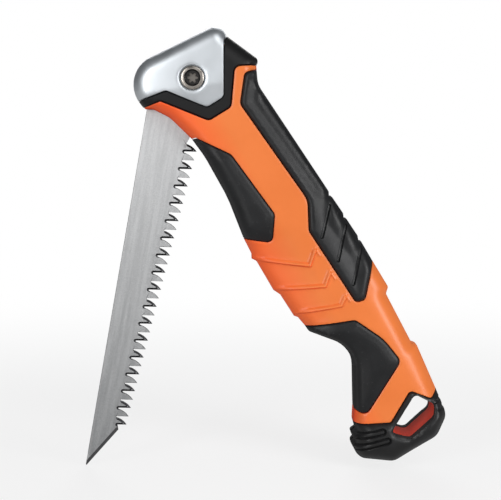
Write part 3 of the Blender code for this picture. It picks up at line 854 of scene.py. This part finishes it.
def back_face(flat):
    """Highest along the orange, sloping out to a valley, then a second slope out to the back."""
    slots = smooth(70, 78, flat[:, 0])
    along = distance(flat, rounded_line(BACK_EDGE))
    valley = 5.6 + 3.6 * slots
    level = shell_face(flat) + 0.2 + 1.35 * smooth(0, 1.3, along)
    level -= (1.75 + 0.2 * slots) * np.clip((along - 1.0) / (valley - 1.0), 0, 1) ** 1.3
    level += (0.2 + 0.15 * slots) * smooth(valley, valley + 2.0, along)
    return level - 0.44 * soft(along - 7.4, 0.5) * (1 - slots)


def back_surface(flat):
    return crown(flat, softened(flat, back_face) + slot_relief(flat), 1.9 + 3.1 * smooth(70, 78, flat[:, 0]))


def belly_surface(flat):
    return crown(flat, shell_face(flat) + lifted(flat, BELLY_EDGE, 0.2, 1.1), reach=7.5)


def finger_surface(flat):
    bay = distance(flat, rounded_line([FINGER_EDGE[-1]] + FINGER_BAY + [FINGER_EDGE[0]]))
    face = shell_face(flat) + lifted(flat, FINGER_EDGE, 0.2, 0.9)
    face -= 1.0 * (1 - smooth(3.0, 9.0, bay))
    face += 0.5 * (1 - smooth(2.0, 4.5, bay))
    return crown(flat, face, reach=4.6)


def boot_surface(flat):
    """Falling off to the back and into the tether hole, with the ribs cut in."""
    hole = rounded(TETHER_HOLE)
    face = BOOT_FACE - 0.16 * soft(flat[:, 1] - 22, 3.0) - lifted(flat, BOOT_EDGE, 1.6, 0.0, 3.5)
    to_hole = np.where(inside(flat, hole), 0, distance(flat, looped(hole)))
    mouth = HOLE_MOUTH * (1 - np.clip(to_hole / 2.2, 0, 1)) ** 2
    return crown(flat, face, reach=9.0) - mouth + rib_relief(flat)


def rib_relief(flat):
    """Two raised bars across the boot with a groove along each side, and two short grooves at the back."""
    relief = np.zeros(len(flat))
    for start, end in RIBS:
        away = unit(start, end)
        outer = (start[0] - 6 * away[0], start[1] - 6 * away[1])
        gap = distance(flat, [outer, end])
        relief -= RIB_DEPTH * smooth(1.8, 1.3, gap) * (1 - smooth(1.2, 0.5, gap))
    for outer, end in BACK_GROOVES:
        relief -= 1.0 * smooth(0.95, 0.3, distance(flat, [outer, end]))
    return relief


def stadium(start, end, radius, count=10):
    """A closed line round a segment, at a radius."""
    along = math.degrees(math.atan2(end[1] - start[1], end[0] - start[0]))
    points = []
    for centre, first in ((end, along - 90), (start, along + 90)):
        points += moved([polar(radius, first + 180 * i / count) for i in range(count + 1)], centre)
    return looped(points)


def crossing(a, b, c, d):
    """Where the line through a and b meets the line through c and d."""
    ab, cd = (b[0] - a[0], b[1] - a[1]), (d[0] - c[0], d[1] - c[1])
    share = ((c[0] - a[0]) * cd[1] - (c[1] - a[1]) * cd[0]) / (ab[0] * cd[1] - ab[1] * cd[0])
    return (a[0] + ab[0] * share, a[1] + ab[1] * share)


def beside(start, end, offset):
    """The segment moved sideways by an offset."""
    away_s, away_n, _ = unit(start, end)
    return [(s - away_n * offset, n + away_s * offset) for s, n in (start, end)]


def chevron_lines():
    """Rows of points along both sides of each ridge."""
    lines = []
    for foot, corner, top, hook in CHEVRONS:
        for offset in (2.4, 1.7, 1.1, 0.6, 0.25, 0.02, -0.2, -0.45, -0.75, -1.3, -2.1):
            leg, arm = beside(foot, corner, offset), beside(corner, top, offset)
            lines.append([leg[0], crossing(*leg, *arm), arm[1]])
        lines += [stadium(top, hook, radius) for radius in (0.1, 0.4, 0.7)]
    return lines


def slot_lines():
    lines = []
    for low_end, high_end, notch in SLOTS:
        lines += [stadium(low_end, high_end, radius) for radius in (0.25, 0.5, 0.67, 0.85, 1.2)]
        lines.append([high_end, notch])
    return lines


def rib_lines():
    ribs = [stadium(*rib, radius) for rib in RIBS for radius in (0.35, 0.6, 0.95, 1.35, 1.65, 1.95, 2.3)]
    return ribs + [stadium(*groove, radius) for groove in BACK_GROOVES for radius in (0.05, 0.35, 0.65, 0.95, 1.3)]


def notched(corners, points, shape):
    """The corners with a notch at each of the points."""
    for s, n in points:
        corners = corners + [(s + ds, n + dn, radius) for ds, dn, radius in shape]
    return corners


def cut_shapes():
    """What the mouldings make room for: each cut's outline, and its levels across the handle."""
    core = rounded(CORE)
    channel = CHANNEL_MOUTH + [polar(TANG_RADIUS + SWING_GAP, d) for d in range(92, 44, -4)] + CHANNEL_BACK
    stop = circle(polar(STOP_ORBIT, STOP_ANGLE), STOP_RADIUS + GAP, 32)
    pin_end = PIN_REACH + GAP
    washers_end = WASHER_TOP + GAP
    return {
        "core": (inset(core, CORE_INSET - GAP), -PAD_FLOOR, 1.0),
        "web": (inset(core, WEB_INSET - GAP), -WEB_TOP - GAP, 1.0),
        "channel": (channel, -CHANNEL, CHANNEL),
        "pocket": (LEVER_POCKET, -POCKET, POCKET),
        "tether": (rounded(TETHER_HOLE), -BEYOND, BEYOND),
        "pivot": (circle((0, 0), PIVOT_HOLE, 64), -BEYOND, BEYOND),
        "washers": (circle((0, 0), WASHER_RADIUS + GAP, 64), -washers_end, washers_end),
        "stop": (stop, -pin_end, pin_end),
        "lock": (circle(LOCK_PIN, LOCK_PIN_RADIUS + GAP, 32), -pin_end, pin_end),
        "seat": (circle((0, 0), SEAT_RADIUS, 96), -BEYOND, -HEAD_SEAT),
    }


def cut(mesh, kinds):
    return combined(mesh, [prism(*CUTS[kind], kind) for kind in kinds])


def add_pair(name, mesh, look):
    """The front piece and its mirror image, which has wells where the shell screws go in."""
    rear = mirrored(mesh)
    if name in ("shell", "back_grip"):
        rear = combined(rear, [prism(circle(centre, SHELL_SCREW_HEAD + GAP), SHELL_SCREW_SEAT, BEYOND, "well")
                               for centre in SHELL_SCREWS])
    add_piece(f"front_{name}", mesh, look)
    add_piece(f"rear_{name}", rear, look)


def make_pad(name, corners, surface, look, slot_name, cuts=(), **details):
    mesh = moulding(name, corners, surface, **details)
    add_pair(name, cut(mesh, ("core", "web", "channel", *cuts)), look)


def make_pads():
    back_line = notched(BACK_LINE[:1], [notch for _, _, notch in SLOTS], SLOT_NOTCH)
    boot_edge = notched(BOOT_EDGE, [outer for outer, _ in BACK_GROOVES], GROOVE_NOTCH)
    make_pad("head_band", HEAD_CORNER + BAND_EDGE + BOLSTER_EDGE[::-1], band_surface, BLACK, "black_plastic")
    make_pad("back_grip", BACK_EDGE + back_line[::-1], back_surface, RUBBER, "black_rubber", ("pocket",),
             lines=slot_lines(), pitch=BACK_PITCH)
    make_pad("belly_grip", [BELLY_START] + BELLY_EDGE[1:] + BELLY_LINE, belly_surface, RUBBER, "black_rubber")
    make_pad("finger_grip", FINGER_EDGE + FINGER_BAY, finger_surface, RUBBER, "black_rubber")
    make_pad("butt_boot", boot_edge + BUTT, boot_surface, BOOT, "black_rubber", ("tether",), fillet=BOOT_FILLET,
             lines=rib_lines(), loops=(rounded(TETHER_HOLE),))
    make_pad("bolster", HEAD_END + BOLSTER_EDGE, bolster_surface, CAST, "satin_cast", ("seat", "pivot"),
             fillet=CAST_FILLET, loops=(circle((0, 0), SEAT_LOOP, 96),))


def make_shell():
    corners = (BAND_EDGE[::-1] + BACK_EDGE + BACK_COLLAR + BOOT_EDGE[::-1] + FINGER_EDGE[::-1] + BELLY_RIDGES
               + BELLY_EDGE[::-1] + BELLY_FRONT)
    core = rounded(CORE)
    inner = [prism(inset(core, CORE_INSET), -CORE_TOP, -PARTING, "core"),
             prism(inset(core, WEB_INSET), -WEB_TOP, -PARTING, "web")]
    mesh = combined(moulding("shell", corners, shell_surface, SHELL_FILLET, chevron_lines()), inner, "UNION")
    mesh = cut(mesh, ("channel", "pocket", "tether", "pivot", "washers", "stop", "lock"))
    bores = [prism(circle(centre, SHELL_SCREW_RADIUS + GAP, 32), -SHELL_SCREW_SEAT - GAP, 0, "bore")
             for centre in SHELL_SCREWS]
    add_pair("shell", combined(mesh, bores), ORANGE)


# ---- hardware


def arc_profile(centre, radius, start, end, steps=6):
    """Points of a (radius, level) profile on an arc."""
    return moved([polar(radius, start + (end - start) * i / steps) for i in range(steps + 1)], centre)


def head_profile(side):
    """A pivot head from its axis outwards: a sunk floor, a conical mouth and a domed ring."""
    top = HEAD_TOP
    points = [(radius, top - depth) for radius, depth in HEAD_MOUTH]
    points += arc_profile((3.85, top - 0.25), 0.2, 170, 90, 3)
    points += [(4.4, top - 0.1)]
    points += arc_profile((HEAD_RADIUS - 0.8, top - 0.95), 0.8, 75, 0)
    points.append((HEAD_RADIUS, HEAD_SEAT + GAP))
    return [(radius, side * level) for radius, level in points]


def lobed(radius, wave, count=96):
    angles = [360 * i / count for i in range(count)]
    return [polar(radius + wave * math.cos(math.radians(6 * degrees)), degrees) for degrees in angles]


def make_pivot():
    shank = [(SCREW_RADIUS, -HEAD_SEAT - GAP), (SCREW_RADIUS, SCREW_END), (0, SCREW_END)]
    recess = prism(lobed(1.95, 0.55), -BEYOND, -RECESS_FLOOR, "recess")
    screw = combined(turned(head_profile(-1) + shank, "screw"), [recess])
    add_piece("pivot_screw", screw, NICKEL)
    bore = SCREW_RADIUS + GAP
    barrel = [(SLEEVE_RADIUS, HEAD_SEAT + GAP), (SLEEVE_RADIUS, -SLEEVE_END), (bore, -SLEEVE_END),
              (bore, SCREW_END + GAP), (0, SCREW_END + GAP)]
    add_piece("pivot_sleeve", turned(head_profile(1) + barrel, "sleeve"), NICKEL)


def make_spring():
    """The coil under the lever's tail, as a tube along a helix."""
    per_turn, around = 24, 10
    count = SPRING_TURNS * per_turn
    foot = SPRING_FOOT + SPRING_WIRE
    rise = (SPRING_HEAD - SPRING_FOOT - 2 * SPRING_WIRE) / count
    bm = bmesh.new()
    rings = []
    for i in range(count + 1):
        ring = []
        for wire_out, wire_up in circle((0, 0), SPRING_WIRE, around):
            across, along = polar(SPRING_RADIUS + wire_out, 360 * i / per_turn)
            ring.append(bm.verts.new(((SPRING_S + along) * MM, across * MM, (foot + rise * i + wire_up) * MM)))
        rings.append(ring)
    for lower, upper in zip(rings, rings[1:]):
        bridge(bm, lower, upper)
    bm.faces.new(rings[0])
    bm.faces.new(rings[-1])
    obj = add_piece("lock_spring", closed_mesh(bm, "spring"), STEEL, angle=60)
    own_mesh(obj)


def make_shell_screws():
    seat = SHELL_SCREW_SEAT + GAP
    top = seat + SHELL_SCREW_THICK
    profile = [(0, top), (1.6, top - 0.05)] + arc_profile((SHELL_SCREW_HEAD - 0.7, top - 0.75), 0.7, 85, 0)
    profile += [(SHELL_SCREW_HEAD, seat), (SHELL_SCREW_RADIUS, seat), (SHELL_SCREW_RADIUS, -SHELL_SCREW_SEAT),
                (0, -SHELL_SCREW_SEAT)]
    for i, (s, n) in enumerate(SHELL_SCREWS, 1):
        recess = prism(lobed(0.95, 0.2, 48), top - 1.1, BEYOND, "recess")
        mesh = combined(turned(profile, "screw", 48), [recess])
        mesh.transform(Matrix.Translation((s * MM, 0, n * MM)))
        add_piece(f"shell_screw_{i}", mesh, STEEL)


# ---- blade


def tooth(i):
    """One tooth's edge: its root, a convex back, the tip and the root before the next tooth."""
    share = i / (TEETH - 1)
    tip = tuple(first + (last - first) * share for first, last in zip(FIRST_TOOTH, LAST_TOOTH))
    root = moved([TOOTH_BACK], tip)[0]
    along_b, along_t, _ = unit(root, tip)
    middle = ((root[0] + tip[0]) / 2 - along_t * TOOTH_BULGE, (root[1] + tip[1]) / 2 + along_b * TOOTH_BULGE)
    points = []
    for step in range(7):
        u = step / 6
        points.append(tuple((1 - u) ** 2 * root[k] + 2 * u * (1 - u) * middle[k] + u * u * tip[k] for k in (0, 1)))
    return points + moved([TOOTH_FRONT if i < TEETH - 1 else LAST_FRONT], tip)


def tang_points():
    """The tang's round edge, with a notch for each angle at which the lever locks."""
    centres = [NOSE_ANGLE + CLOSED_LEAN + lock for lock in LOCK_ANGLES]
    mouth = NOTCH_HALF_ANGLE + 1
    clear = [d for d in range(*TANG_SPAN, TANG_STEP) if all(abs(d - centre) > mouth + 1 for centre in centres)]
    points = [(d, TANG_RADIUS) for d in clear]
    for centre in centres:
        points += [(centre - mouth, TANG_RADIUS), (centre - NOTCH_HALF_ANGLE, TANG_RADIUS - NOTCH_DEPTH),
                   (centre + NOTCH_HALF_ANGLE, TANG_RADIUS - NOTCH_DEPTH), (centre + mouth, TANG_RADIUS)]
    return [polar(radius, d) for d, radius in sorted(points)]


def kidney():
    """The slot that the stop pin runs in, half a turn about the pivot."""
    closed = STOP_ANGLE + CLOSED_LEAN
    half = STOP_RADIUS + GAP
    outer = [polar(STOP_ORBIT + half, closed + d) for d in range(0, 181, 6)]
    inner = [polar(STOP_ORBIT - half, closed + d) for d in range(180, -1, -6)]
    ends = []
    for turn in (180, 0):
        arc = [polar(half, closed + 180 + d) for d in range(20, 161, 20)]
        ends.append(moved(arc, polar(STOP_ORBIT, closed + turn)))
    return outer + ends[0] + inner + ends[1]


def facet_lines(line, reach):
    """Lines along both sides of a ground edge, at its facet's border and half-way, and a ring round each end."""
    lines = []
    for way in (reach, reach * 0.5):
        for a, b in zip(line, line[1:]):
            lines += [beside(a, b, way), beside(a, b, -way)]
    return lines + [circle(end, TOOTH_FACET, 12) for end in (line[0], line[-1])]


def blade_cap(outline, ground):
    """The blade's face on one side: flat vertices, faces and levels, with its ground edges let down."""
    groups = []
    for line, reach in ground:
        for points in facet_lines(line, reach):
            points = np.array(resampled(points, FACET_STEP))
            clear = [distance(points, other) > TOOTH_FACET * 0.49 for other, _ in ground]
            groups.append((points[np.all(clear, axis=0)], 0.2))
    groups += [(inset(outline, CHAMFER), 0.1), (grid_points(outline, BLADE_PITCH, BLADE_RISE), 0.9)]
    flat, faces = triangles(outline, sifted(outline, groups, CHAMFER * 0.9))
    levels = BLADE_HALF - 0.9 * np.clip(CHAMFER - distance(flat, looped(outline)), 0, CHAMFER)
    for line, reach in ground:
        gap = distance(flat, line)
        levels = np.minimum(levels, BLADE_HALF - FACET_DEPTH * np.clip(1 - gap / reach, 0, 1))
    return flat, faces, levels


def make_blade():
    """The outline runs from the point along the spine, round the tang, along the teeth and down the bevel."""
    heel = rounded([(*BLADE_POINT, 0)] + HEEL + [(*FIRST_TOOTH, 0)])[1:-2]
    outline = resampled([BLADE_POINT, (BLADE_POINT[0] - 0.5, SPINE)] + heel, 3.0)
    outline += tang_points()[::-1]
    teeth = [tooth(i) for i in range(TEETH)]
    for points in teeth:
        outline += points
    knife = [BEVEL_CORNER, BLADE_POINT]
    outline += resampled(knife, 1.5)[:-1]
    bm = bmesh.new()
    rims = []
    for side, first in ((-1, 0), (1, 1)):
        ground = [(points[1:], TOOTH_FACET) for points in teeth[first::2]] + [(knife, KNIFE_FACET)]
        flat, faces, levels = blade_cap(outline, ground)
        rims.append(add_cap(bm, flat, faces, side * levels)[:len(outline)])
    bridge(bm, *rims)
    holes = [prism(circle((0, 0), PIVOT_HOLE, 64), -BEYOND, BEYOND, "hole"),
             prism(kidney(), -BEYOND, BEYOND, "slot")]
    mesh = combined(closed_mesh(bm, "blade"), holes)
    add_piece("blade", mesh, BLADE, "blade_body", BLADE_TURN, angle=12)


# ---- studio


def camera_ray(tree):
    return add_node(tree, "ShaderNodeLightPath").outputs["Is Camera Ray"]


def blended(tree, share, first, second):
    """A mix of two shaders."""
    node = add_node(tree, "ShaderNodeMixShader", Fac=share)
    put(node.inputs[1], first)
    put(node.inputs[2], second)
    return node.outputs["Shader"]


def make_world():
    """Dim grey light all round, in front of a backdrop that looks white."""
    world = bpy.data.worlds.new("studio")
    bpy.context.scene.world = world
    world.use_nodes = True
    tree = world.node_tree
    sky = fill(tree.nodes["Background"], {"Color": SKY, "Strength": 1.0})
    backdrop = add_node(tree, "ShaderNodeBackground", Color=(1, 1, 1, 1))
    seen = blended(tree, camera_ray(tree), sky.outputs["Background"], backdrop.outputs["Background"])
    put(tree.nodes["World Output"].inputs["Surface"], seen)


def floor_look():
    """White paper: lit and shadowed near the object, and fading into plain white further out."""
    made = bpy.data.materials.new("floor")
    made.use_nodes = True
    tree = made.node_tree
    paper = tree.nodes["Principled BSDF"]
    fill(paper, {"Base_Color": (0.9, 0.9, 0.9, 1), "Roughness": 0.9, "Specular_IOR_Level": 0.1})
    strength = add_node(tree, "ShaderNodeMapRange", Value=camera_ray(tree), To_Min=FLOOR_GLOW)
    glow = add_node(tree, "ShaderNodeEmission", Strength=strength.outputs["Result"])
    away = add_node(tree, "ShaderNodeVectorMath")
    away.operation = "LENGTH"
    put(away.inputs[0], add_node(tree, "ShaderNodeTexCoord").outputs["Object"])
    fade = add_node(tree, "ShaderNodeMapRange", Value=away.outputs["Value"], From_Min=FLOOR_FADE[0],
                    From_Max=FLOOR_FADE[1], To_Min=0.75)
    fade.interpolation_type = "SMOOTHSTEP"
    mixed = blended(tree, fade.outputs["Result"], paper.outputs["BSDF"], glow.outputs["Emission"])
    put(tree.nodes["Material Output"].inputs["Surface"], mixed)
    return made


def make_floor(level):
    bm = bmesh.new()
    bm.faces.new([bm.verts.new((x, y, 0)) for x, y in circle((0, 0), FLOOR_RADIUS, 64)])
    floor = object_of(mesh_of(bm, "floor"), "floor")
    floor.location = (0, 0, level)
    floor.data.materials.append(floor_look())


def soft_box(name, middle, azimuth, elevation, away, size, power):
    """An area light that looks at the middle, from an azimuth counted from the camera's side."""
    turn, rise = math.radians(azimuth), math.radians(elevation)
    towards = Vector((math.sin(turn) * math.cos(rise), -math.cos(turn) * math.cos(rise), math.sin(rise)))
    data = bpy.data.lights.new(name, "AREA")
    data.shape = "RECTANGLE"
    data.size, data.size_y = size
    data.energy = power
    obj = object_of(data, name)
    obj.location = middle + away * towards
    obj.rotation_euler = (-towards).to_track_quat("-Z", "Y").to_euler()


def make_camera(middle):
    camera = bpy.data.cameras.new("camera")
    camera.lens = CAMERA_LENS
    camera.sensor_width = 36
    view = object_of(camera, "camera")
    away = Vector((0, -math.cos(CAMERA_DOWN), math.sin(CAMERA_DOWN)))
    view.location = middle + Vector(CAMERA_AIM) * MM + CAMERA_AWAY * away
    view.rotation_euler = (math.pi / 2 - CAMERA_DOWN, 0, 0)
    bpy.context.scene.camera = view


def make_studio():
    low, high = cad_box
    middle = (low + high) / 2
    bpy.context.scene.view_settings.view_transform = "Standard"
    bpy.context.scene.view_settings.look = "None"
    make_world()
    make_floor(low.z - 0.0002)
    for name, *placed in SOFT_BOXES:
        soft_box(name, middle, *placed)
    make_camera(middle)


JOINTS = {joint["name"]: joint for joint in frame["joints"]}
PIVOT = Vector(JOINTS["blade_pivot"]["pos_m"])
RIM = looped(silhouette())
CUTS = cut_shapes()
ORANGE = orange_look()
RUBBER = rubber_look("grip_rubber", (0.005, 0.0053, 0.006), 0.46)
BOOT = rubber_look("boot_rubber", (0.008, 0.008, 0.0084), 0.42)
BLACK = plastic_look()
CAST = cast_look()
BLADE = blade_look()
NICKEL = steel_look("nickel_screw", (0.5, 0.46, 0.415), 0.3, 0.0037)
STEEL = steel_look("blued_steel", (0.3, 0.3, 0.31), 0.35)
BRONZE = steel_look("bronze_washer", (0.6, 0.42, 0.2), 0.4)

make_pads()
make_shell()
make_pivot()
make_spring()
make_shell_screws()
make_blade()
for node, finish in (("front_washer", BRONZE), ("rear_washer", BRONZE), ("stop_pin", STEEL), ("lock_pin", STEEL),
                     ("lock_lever", STEEL)):
    for holder in frame["nodes"][node].material_slots:
        holder.material = finish
make_studio()
